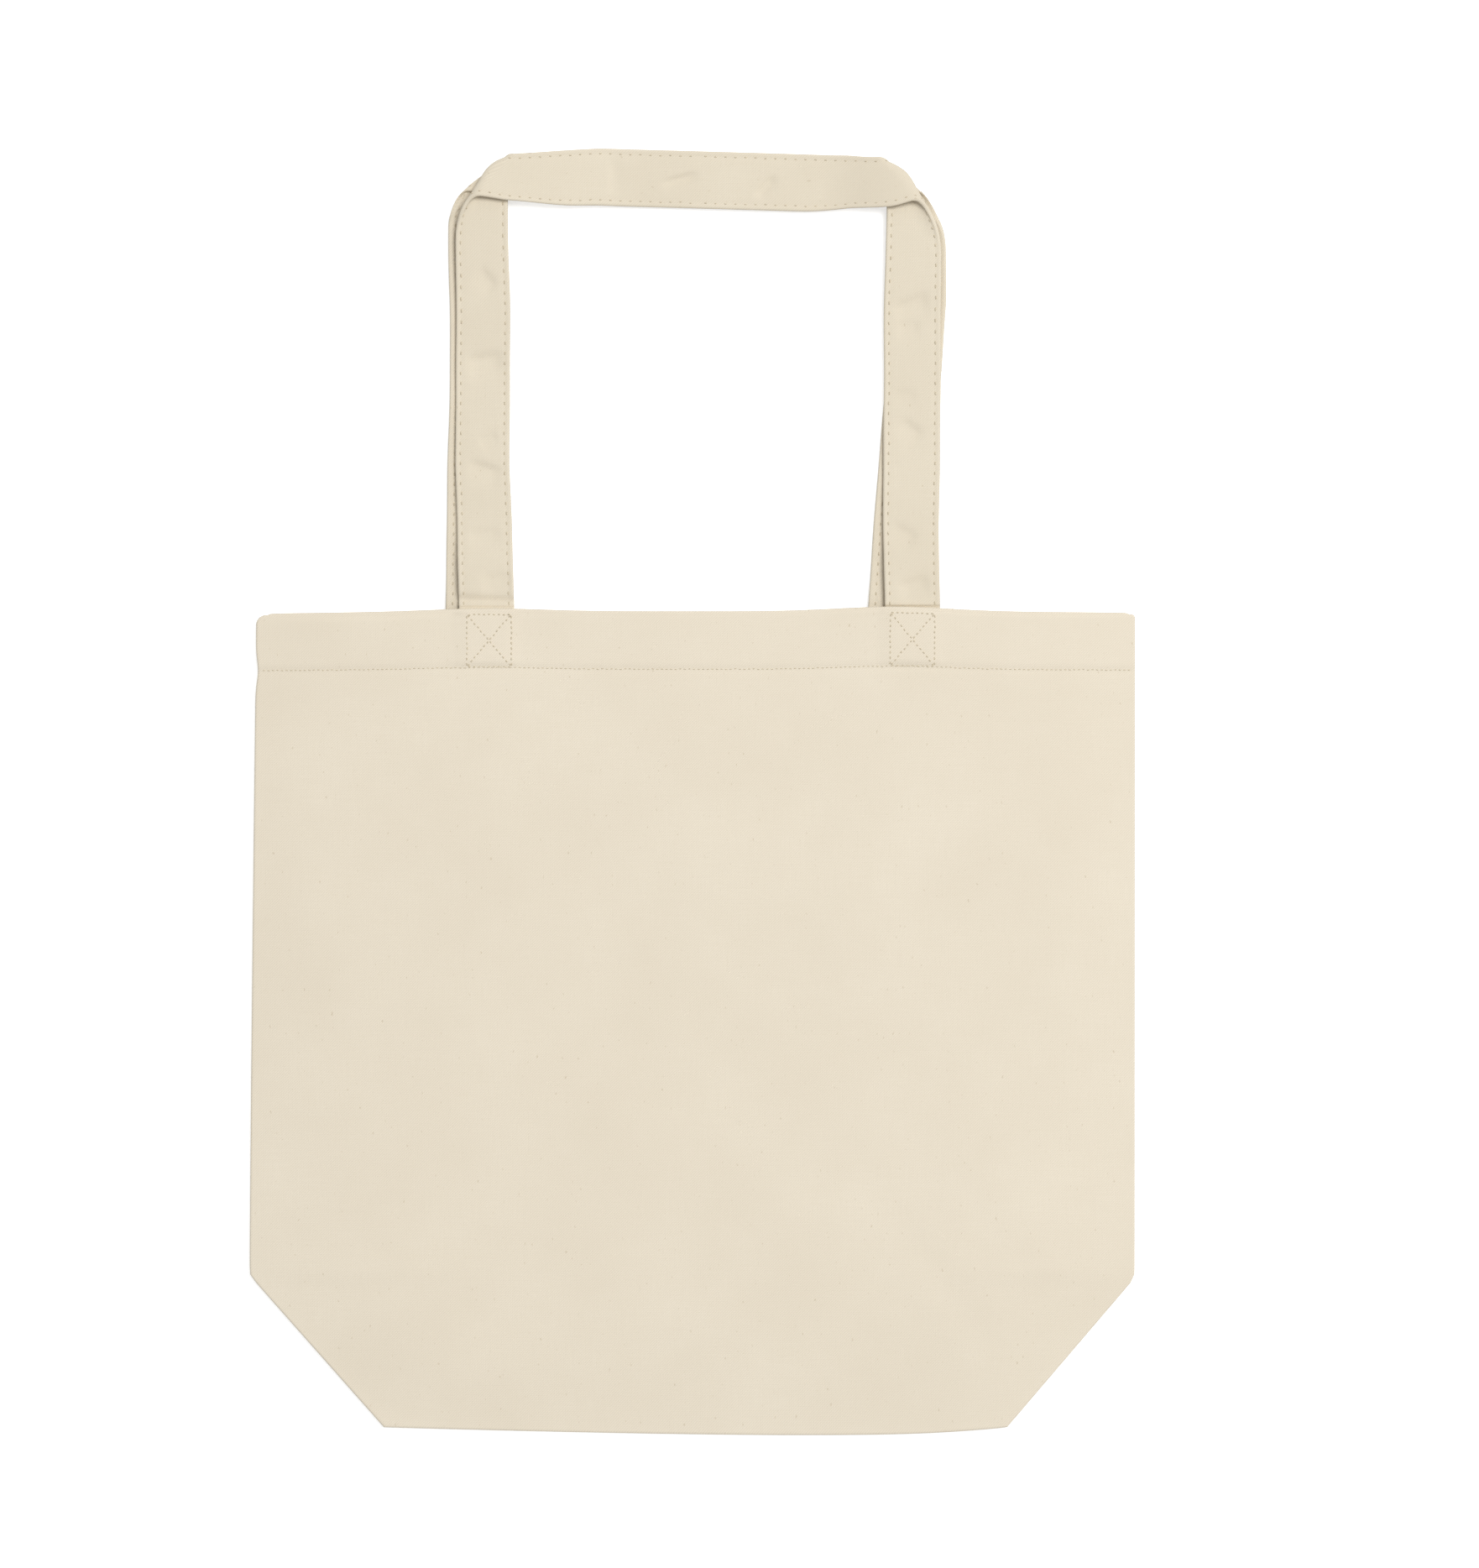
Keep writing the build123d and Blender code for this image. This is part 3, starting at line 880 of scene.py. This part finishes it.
class Strap:
    """A handle, laid out: two legs folded over at 45 degrees into a crosswise run in front of them.

    s runs along the strap from a sewn end, v across it towards the inner edge, and n up from its middle.
    """

    def __init__(self, which, feet, shoulders, lean_top, run_y, levels, descent, folds, row_inset):
        self.which = which
        self.feet, self.shoulders = feet, shoulders  # where the legs leave the hem and meet the run
        self.lean_top = lean_top  # level above which the legs stand upright
        self.run_y = run_y
        self.root_z, self.low_z, self.crest_z, self.span_z = levels
        self.descent = descent  # length of leg over which it comes down from the hem
        self.folds = folds
        self.row = HALF_STRAP - row_inset  # from the middle to each row of stitches
        self.middle_x = sum(shoulders.values()) / 2
        self.fold_s = run_y - END_Y

    def half_length(self, side):
        """Strap from a sewn end to the middle of the run."""
        return self.fold_s + abs(self.middle_x - self.shoulders[side])

    def level(self, s, fall):
        """Height of the strap's middle along its length, before the height that its fold adds."""
        down = ramp(END_Y + s - MOUTH_Y, LEAVES_MOUTH, self.descent)
        z = self.root_z + (self.low_z - self.root_z) * down
        z = z + (self.crest_z - self.low_z) * ramp(s - self.fold_s, *CREST)
        return z + (self.span_z - self.crest_z - FOLD_RISE) * ramp(s - self.fold_s, FALL_START, fall)

    def width(self, s, side):
        """Share of the flat strap's width that is seen: it cups on a leg and lies flat on the run."""
        on_run = ramp(s - self.fold_s, *FLAT)
        cupped = CUPPED[self.which][side] * ramp(s, *CUP)
        return 1.0 - cupped * (1 - on_run) + RUN_GAIN[self.which] * on_run

    def drawn_in(self, s):
        """How far the legs' inner edges draw in just below the run."""
        return DRAWN_IN[self.which] * stretch(s - self.fold_s, *DRAW_STRETCH)

    def point(self, s, v, n, side):
        """The place of a point of the strap on one half of the handle."""
        fold = self.folds[side]
        v = v * self.width(s, side) - self.drawn_in(s) * smoothstep(v / HALF_STRAP)
        along = (v + s - self.fold_s) / ROOT2
        square = (s - self.fold_s - v) / ROOT2
        away = soft_max(along + HALF_STRAP * ROOT2, 0.0, LOOSE_ROUND)
        loose = np.clip(1 - away / fold.loose_run, 0, 1) ** 2
        length = fold.tight + (fold.loose - fold.tight) * loose
        height = FOLD_RISE + (fold.loose_height - FOLD_RISE) * loose
        t = square + length / 2
        turn = math.pi * np.clip(t / length, 0, 1)
        bend = np.clip(t, 0, length)
        out = np.where(t < 0, square, np.where(t > length, -square, bend - bend**2 / length - length / 2))
        out = out + (fold.reach * stretch(away, *REACH_STRETCH) - n) * np.sin(turn)
        up = height / 2 * (1 - np.cos(turn)) + n * np.cos(turn)
        across = (along - out) / ROOT2
        y = self.run_y + (along + out) / ROOT2
        fade = smoothstep((fold.lift_end - away) / (fold.lift_end - fold.lift_start))
        y = y + fold.lift * smoothstep((square + fold.lift_lead) / fold.lift_run) * fade
        x = self.shoulders[side] - side * across + self.lean(s, y, side) + self.sway(s, side)
        shown = np.clip(n * np.cos(turn) / HALF_THICK, -1, 1)
        dents = self.dents(s, v, side) * (DENT_MIDDLE + DENT_FACES * shown)
        z = self.level(s, fold.fall) + up + dents + self.curl(s, v)
        return xyz(x, y + self.run_bow(s, x), z)

    def lean(self, s, y, side):
        """How far a leg stands beside its shoulder on its way up from the hem."""
        climb = np.clip((y - MOUTH_Y) / (self.lean_top - MOUTH_Y), 0, 1)
        lean = (self.feet[side] - self.shoulders[side]) * (1 - climb)
        return lean * smoothstep((self.fold_s + LEAN_TAIL - s) / (2 * LEAN_TAIL))

    def on_leg(self, s, start, up, end, down):
        """1 along a leg, from so far above the mouth to so far before the fold."""
        return ramp(END_Y + s - MOUTH_Y, start, up) * ramp(self.fold_s - s, end, down)

    def sway(self, s, side):
        """A leg wanders a little, and bows."""
        bow, level, length = LEG_BOWS[self.which][side]
        wander = sum(size * np.sin(s / run + i * side) for i, (size, run) in enumerate(WANDERS, 1))
        return self.on_leg(s, *SWAY_STRETCH) * (wander + bow * bump(END_Y + s - level, length))

    def curl(self, s, v):
        """How far the legs' outer edges turn up."""
        return CURL[self.which] * self.on_leg(s, *CURL_STRETCH) * ramp(-v, *CURL_EDGE)

    def run_bow(self, s, x):
        """The run is highest left of its middle, and drops towards both shoulders."""
        from_crest = x - RUN_CREST_X
        drop = LAST_DROP * ramp(from_crest, *LAST_DROP_RAMP)
        for side, (most, run, curve, stop) in RUN_DROPS.items():
            drop = drop + most * (np.clip(side * from_crest, 0, stop) / run) ** curve
        return ramp(s - self.fold_s, *BOW) * (RUN_CREST - drop)

    def dents(self, s, v, side):
        """Soft kinks across the strap where it has been folded and handled."""
        total = 0.0
        for dent in DENTS[self.which][side]:
            ahead, beside = END_Y + s - dent.at, v - dent.across
            cos, sin = math.cos(math.radians(dent.turn)), math.sin(math.radians(dent.turn))
            within = np.exp(-(((beside * cos + ahead * sin) / dent.reach) ** 4))
            past = ahead * cos - beside * sin
            total = total - dent.depth * within * bump(past, np.where(past < 0, dent.near, dent.far))
        return total


SECTION_FLAT, SECTION_STEP, ROW_STEP = 8.5, 0.8, 0.7  # even middle; steps there and beside the rows
FULL, EDGE_FULLER, EDGE_RUN = 0.84, 0.14, 1.2  # shares of a strap's thickness; it is fuller outside the rows
ROW_PULL, ROW_PULL_WIDTH = 0.16, 0.75
EDGE_TURNS = 6


def strap_section(row):
    """The strap's outline across its width: dipped along the stitches, with full rounded edges."""
    even = np.arange(0.0, SECTION_FLAT, SECTION_STEP)
    flat = [*even, row - ROW_STEP, row, row + ROW_STEP, HALF_STRAP - HALF_THICK]
    widths = [-w for w in flat[:0:-1]] + flat
    top = []
    for w in widths:
        full = FULL + EDGE_FULLER * ramp(abs(w), row, EDGE_RUN)
        top.append((w, HALF_THICK * (full - ROW_PULL * bump(abs(w) - row, ROW_PULL_WIDTH))))
    edge = []
    for i in range(1, EDGE_TURNS):
        turn = math.pi * (0.5 - i / EDGE_TURNS)
        edge.append((HALF_STRAP - HALF_THICK + HALF_THICK * math.cos(turn), HALF_THICK * math.sin(turn)))
    bottom = [(w, -n) for w, n in reversed(top)]
    left = [(-w, -n) for w, n in edge]
    return np.array(top + edge + bottom + left)


SEWN_STEP, FOOT_STEP, LEG_STEP, TURN_STEP, RUN_STEP = 2.4, 0.5, 1.0, 0.55, 0.8  # between a strap's rows
FOOT_LENGTH, TURN_LENGTH = 8, 30


def strap_rows(strap, side):
    """Positions along half a strap, closer together at its fold, and how far each row slants."""
    end = strap.half_length(side)
    fold = strap.fold_s
    mouth = MOUTH_Y - END_Y
    sewn = np.arange(0, mouth - FOOT_STEP, SEWN_STEP)
    foot = np.arange(mouth, mouth + FOOT_LENGTH, FOOT_STEP)
    leg = np.arange(mouth + FOOT_LENGTH, fold - TURN_LENGTH, LEG_STEP)
    turn = np.arange(fold - TURN_LENGTH, fold + TURN_LENGTH, TURN_STEP)
    run = np.arange(fold + TURN_LENGTH, end - LEG_STEP, RUN_STEP)
    rows = np.concatenate([sewn, foot, leg, turn, run, [end]])
    return rows, stretch(rows - fold, *SLANT_STRETCH)


def make_strap(strap):
    """The whole strap from one sewn end to the other, as one closed ribbon."""
    section = strap_section(strap.row)
    rings, cloth = [], []
    for side in (LEFT, RIGHT):
        rows, slant = strap_rows(strap, side)
        s = rows[:, None] + slant[:, None] * section[None, :, 0]
        v = np.broadcast_to(section[None, :, 0], s.shape)
        n = np.broadcast_to(section[None, :, 1], s.shape)
        ring = strap.point(s, v, n, side)
        flat = np.stack([v, s if side == LEFT else 2 * strap.half_length(side) - s], axis=-1)
        if side == RIGHT:
            ring, flat = ring[-2::-1], flat[-2::-1]
        rings.append(ring)
        cloth.append(flat)
    points, cloth = np.concatenate(rings), np.concatenate(cloth)
    rows, columns = points.shape[:2]
    faces = grid_faces(rows, columns, closed=True)
    faces.append(tuple(range(columns))[::-1])
    faces.append(tuple(range((rows - 1) * columns, rows * columns)))
    name = f"{strap.which}_handle_strap"
    return new_object(name, points, faces, STRAP_LOOK, cloth)


SEWN_GAP = 0.1  # between a hem's inner layer and the strap sewn to it
STRAP_GAP = 0.3  # under a strap that rests on something
UNDER_HEM = HEM_LAYER + CANVAS / 2 + HALF_THICK + SEWN_GAP  # from a panel's middle layer to a strap's
FRONT_ROOT_Z = float(front_face_z(np.array(FRONT_FEET[LEFT]), np.array(MOUTH_Y))) - UNDER_HEM
BACK_ROOT_Z = BACK_Z + UNDER_HEM
ON_FLOOR_Z = HALF_THICK + STRAP_GAP
RESTING_Z = ON_FLOOR_Z + STRAP_THICK + STRAP_GAP
FRONT_LOW_Z, FRONT_CREST_Z = ON_FLOOR_Z + 2.8, ON_FLOOR_Z + 4.8  # low on its legs, and below its folds
BACK_RUN_RISE = 0.6  # the back strap's run lies this much further up than the front one's

back_strap = Strap(
    "back", BACK_FEET, shoulders={LEFT: -99.5, RIGHT: 103.8}, lean_top=225.0, run_y=RUN_Y + BACK_RUN_RISE,
    levels=(BACK_ROOT_Z, ON_FLOOR_Z, ON_FLOOR_Z, ON_FLOOR_Z), descent=24.0, folds=BACK_FOLDS, row_inset=3.2,
)
front_strap = Strap(
    "front", FRONT_FEET, shoulders={LEFT: -96.0, RIGHT: 101.4}, lean_top=150.0, run_y=RUN_Y,
    levels=(FRONT_ROOT_Z, FRONT_LOW_Z, FRONT_CREST_Z, RESTING_Z), descent=44.0, folds=FRONT_FOLDS,
    row_inset=2.4,
)


def bend_at_hem(obj):
    """Bakes a piece of a handle into place."""
    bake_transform(obj)


def finish_strap(strap):
    """Makes a strap, and hides the frame's parts that it stands for."""
    obj = make_strap(strap)
    handle = f"{strap.which}_handle"
    bend_at_hem(obj)
    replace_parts(obj, handle, f"{handle}_left_end", f"{handle}_right_end")
    length = (strap.half_length(LEFT) + strap.half_length(RIGHT)) * MM


finish_strap(front_strap)
finish_strap(back_strap)


# Stitches

# Rings of a stitch: how far along it, and how far above the cloth
STITCH_RINGS = ((0.0, -0.25), (0.14, 0.06), (0.5, 0.16), (0.86, 0.06), (1.0, -0.25))
RING_SIDES = 6
END_SIZE = 0.72  # a stitch is thinner where it goes into the cloth
PROBE = 0.05  # step by which a surface's directions are found
ROW_WANDER, STITCH_TILT = 0.09, 0.05
STITCH_SHARE = 0.62  # of a row's pitch, the part that shows as thread


def unit(vectors):
    """The same directions with length 1."""
    return vectors / np.linalg.norm(vectors, axis=1, keepdims=True)


def stitches(surface, starts, ends, radius):
    """Short arched threads lying on a surface, each from one point of its layout to another."""
    starts, ends = np.asarray(starts, float), np.asarray(ends, float)
    direction = unit(ends - starts)
    sideways = np.stack([-direction[:, 1], direction[:, 0]], axis=1)
    points = np.zeros((len(starts), len(STITCH_RINGS), RING_SIDES, 3))
    for i, (share, lift) in enumerate(STITCH_RINGS):
        at = starts + (ends - starts) * share
        size = radius * (END_SIZE if i in (0, len(STITCH_RINGS) - 1) else 1.0)
        centre = surface(at[:, 0], at[:, 1], lift + 0 * at[:, 0])
        beside = unit(surface(*(at + PROBE * sideways).T, lift + 0 * at[:, 0]) - centre)
        above = unit(surface(at[:, 0], at[:, 1], lift + PROBE + 0 * at[:, 0]) - centre)
        for k in range(RING_SIDES):
            turn = 2 * math.pi * k / RING_SIDES
            points[:, i, k] = centre + size * (math.cos(turn) * beside + math.sin(turn) * above)
    return points


def stitch_faces(count):
    """Faces of so many separate stitches."""
    rings = len(STITCH_RINGS)
    size = rings * RING_SIDES
    one = grid_faces(rings, RING_SIDES, closed=True)
    one.append(tuple(range(RING_SIDES))[::-1])
    one.append(tuple(range(size - RING_SIDES, size)))
    return [tuple(i + size * j for i in face) for j in range(count) for face in one]


def stitch_object(name, batches):
    """One object from several batches of stitches."""
    points = np.concatenate(batches)
    obj = new_object(name, points, stitch_faces(len(points)), THREAD_LOOK)
    return obj


def stitch_row(surface, start, end, pitch, radius, share=STITCH_SHARE):
    """A straight row of evenly spaced stitches, slightly uneven in place."""
    start, end = np.array(start, float), np.array(end, float)
    length = np.linalg.norm(end - start)
    number = max(1, int(round(length / pitch)))
    step = (end - start) / number
    along = step / np.linalg.norm(step)
    sideways = np.array([-along[1], along[0]])
    middles = start + step * (np.arange(number)[:, None] + 0.5)
    middles = middles + sideways * rng.normal(0, ROW_WANDER, (number, 1))
    half = step * share / 2
    tilt = sideways * rng.normal(0, STITCH_TILT, (number, 1))
    return stitches(surface, middles - half - tilt, middles + half + tilt, radius)


CLOTH_TOP = CANVAS / 2
HEM_PITCH, HEM_THREAD, HEM_ROW_INSET = 2.1, 0.18, 1.5
BOX_PITCH, BOX_THREAD, BOX_SHARE = 2.3, 0.27, 0.5
BOX_SHIFTS = {LEFT: 1.3, RIGHT: -0.1}  # the squares sit slightly off the middle of their straps
BOX_SIDE_INSET, BOX_BOTTOM_INSET, BOX_RISE = 0.3, 0.2, 0.1  # from the frame's square to the rows' middles


def on_front(u, v, n):
    return front_surface(u, v, CLOTH_TOP + n)


def on_back(u, v, n):
    return back_surface(u, v, CLOTH_TOP + n)


def on_upper_layer(u, v, n):
    return xyz(u, v, UPPER_Z + CLOTH_TOP + n)


def hem_row(surface):
    """The row that holds a hem down, from side to side."""
    left = -side_edge(HEM_ROW_Y, LEFT) + HEM_ROW_INSET
    right = side_edge(HEM_ROW_Y, RIGHT) - HEM_ROW_INSET
    return stitch_row(surface, (left, HEM_ROW_Y), (right, HEM_ROW_Y), HEM_PITCH, HEM_THREAD)


def box_rows(surface, node, shift):
    """The crossed square, laid out where the frame has it."""
    low, high = node_box(node)
    left, right = low[0] + BOX_SIDE_INSET + shift, high[0] - BOX_SIDE_INSET + shift
    bottom, top = low[1] + BOX_BOTTOM_INSET, high[1] + BOX_RISE
    corners = [(left, bottom), (right, bottom), (right, top), (left, top)]
    lines = list(zip(corners, corners[1:] + corners[:1]))
    lines += [(corners[0], corners[2]), (corners[1], corners[3])]
    return [stitch_row(surface, a, b, BOX_PITCH, BOX_THREAD, BOX_SHARE) for a, b in lines]


front_hem = stitch_object("front_hem_threads", [hem_row(on_front)])
follow_front(front_hem)
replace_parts(front_hem, "front_hem_stitching")

back_hem = stitch_object("back_hem_threads", [hem_row(on_back)])
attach(back_hem, "back")
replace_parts(back_hem, "back_hem_stitching")

for which, surface in (("front", on_front), ("back", on_back)):
    for name, side in SIDES.items():
        node = f"{which}_{name}_box_stitching"
        box = stitch_object(f"{which}_{name}_box_threads", box_rows(surface, node, BOX_SHIFTS[side]))
        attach(box, which)
        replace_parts(box, node)


STRAP_PITCH, STRAP_ROW_START = 4.6, 1.5
STRAP_FACE = 0.80  # share of the strap's half thickness at which they lie
FACE_THREADS = ((1, 0.34, 0.26), (-1, 0.24, 0.20))  # upper and lower face: share of thread, and its radius


def strap_threads(strap):
    """Both edge rows of a strap, on both of its faces."""
    batches = []
    face = HALF_THICK * STRAP_FACE
    for side in (LEFT, RIGHT):
        start = MOUTH_Y + STRAP_ROW_START - END_Y
        end = strap.half_length(side) - STRAP_PITCH / 4
        for v in (-strap.row, strap.row):
            for facing, share, radius in FACE_THREADS:
                def surface(u, w, n, side=side, facing=facing):
                    return strap.point(u, w, facing * (face + n), side)
                batches.append(stitch_row(surface, (start, v), (end, v), STRAP_PITCH, radius, share))
    handle = f"{strap.which}_handle"
    obj = stitch_object(f"{handle}_threads", batches)
    bend_at_hem(obj)
    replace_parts(obj, f"{handle}_stitching")


strap_threads(front_strap)
strap_threads(back_strap)


CORNER_PITCH, CORNER_THREAD = 2.8, 0.24
CORNER_ROW_INSET, CORNER_ROW_START, CORNER_ROW_STOP = 0.1, 6.0, 1.0  # from the base's end, edge and fold
LOOP_PITCH, LOOP_LENGTH, LOOP_THREAD = 2.2, 5.0, 0.18
LOOPS_START, LOOPS_STOP = 3.0, 2.0  # above the slanting corner, and below the hem row


def corner_threads(name, side):
    """The row that closes a boxed corner against the base."""
    x = side * (BASE_ENDS[side] - CORNER_ROW_INSET)
    low = (x, float(bottom_edge(np.array(x))) + TURN_IN + CORNER_ROW_START)
    high = (x, TUCK_Y - CORNER_ROW_STOP)
    obj = stitch_object(name, [stitch_row(on_upper_layer, low, high, CORNER_PITCH, CORNER_THREAD)])
    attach(obj, "back")
    return obj


def overlock_threads(name, side):
    """Loops of thread over the raw edge of a side seam."""
    starts, ends = [], []
    for y in np.arange(CORNER_Y + LOOPS_START, HEM_ROW_Y - LOOPS_STOP, LOOP_PITCH):
        edge = float(side_edge(np.array(y), side))
        inner, outer = side * (edge - SEAM_WIDTH), side * (edge - SEAM_WIDTH + LOOP_LENGTH)
        turn = (outer, y + LOOP_PITCH / 2)
        starts += [(inner, y), turn]
        ends += [turn, (inner, y + LOOP_PITCH)]
    obj = stitch_object(name, [stitches(on_upper_layer, starts, ends, LOOP_THREAD)])
    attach(obj, "back")
    return obj


for name, side in SIDES.items():
    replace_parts(corner_threads(f"{name}_corner_threads", side), f"{name}_corner_stitching")
    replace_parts(overlock_threads(f"{name}_overlock_threads", side), f"{name}_side_overlock")


# Floor, light and camera

WHITE = (1, 1, 1, 1)
PAPER = (0.85, 0.85, 0.85, 1)
PAPER_GLOW = 0.55
FLOOR_SIZE = 6000.0
KEY_PLACE, KEY_AIM = (1.6, 1.3, 4.6), (0.02, 0, 0)  # metres
KEY_SIZE, KEY_POWER = 2.4, 166.0
SKY_STRENGTH = 0.48


def floor_material():
    """White paper: white to the camera where nothing shades it, and darker in the bag's shadow."""
    nodes = Nodes("floor")
    nodes.set("Base Color", PAPER)
    nodes.set("Roughness", 0.9)
    nodes.set("Specular IOR Level", 0.0)
    rays = nodes.add("ShaderNodeLightPath").outputs
    seen = nodes.math("MAXIMUM", rays["Is Camera Ray"], rays["Is Glossy Ray"])
    seen = nodes.math("MAXIMUM", seen, rays["Is Transmission Ray"])
    nodes.set("Emission Color", WHITE)
    nodes.set("Emission Strength", nodes.math("MULTIPLY", seen, PAPER_GLOW))
    return nodes.material


def add_floor():
    size = FLOOR_SIZE
    corners = [(-size, -size, 0), (size, -size, 0), (size, size, 0), (-size, size, 0)]
    new_object("floor", corners, [(0, 1, 2, 3)], floor_material())


def add_key_light():
    """One large soft light, above and to the right."""
    data = bpy.data.lights.new("key", "AREA")
    data.shape = "DISK"
    data.size = KEY_SIZE
    data.energy = KEY_POWER
    light = add_object("key", data)
    light.location = KEY_PLACE
    aim = np.array(KEY_AIM) - np.array(KEY_PLACE)
    light.rotation_euler = Vector(aim).to_track_quat("-Z", "Y").to_euler()


def add_world():
    world = bpy.data.worlds.new("studio")
    world.use_nodes = True
    back = world.node_tree.nodes["Background"]
    back.inputs["Color"].default_value = WHITE
    back.inputs["Strength"].default_value = SKY_STRENGTH
    bpy.context.scene.world = world


PIXEL = 0.385  # millimetres on the bag per pixel of the photograph
FRAME_HEIGHT_PX = 1868
FRAME_CENTRE_X, FRAME_CENTRE_Y = 21.75, 3.85  # middle of the photograph's frame
PHOTO_LEVEL = 8.0  # height on the bag at which that scale holds
LENS = 100.0
SENSOR = 36.0


def add_camera():
    """Straight above the bag, framed as photographed."""
    data = bpy.data.cameras.new("camera")
    data.lens = LENS
    data.sensor_width = SENSOR
    height = FRAME_HEIGHT_PX * PIXEL * LENS / SENSOR
    camera = add_object("camera", data)
    camera.location = (FRAME_CENTRE_X * MM, FRAME_CENTRE_Y * MM, (height + PHOTO_LEVEL) * MM)
    bpy.context.scene.camera = camera


add_floor()
add_world()
add_key_light()
add_camera()
bpy.context.scene.view_settings.view_transform = "Standard"
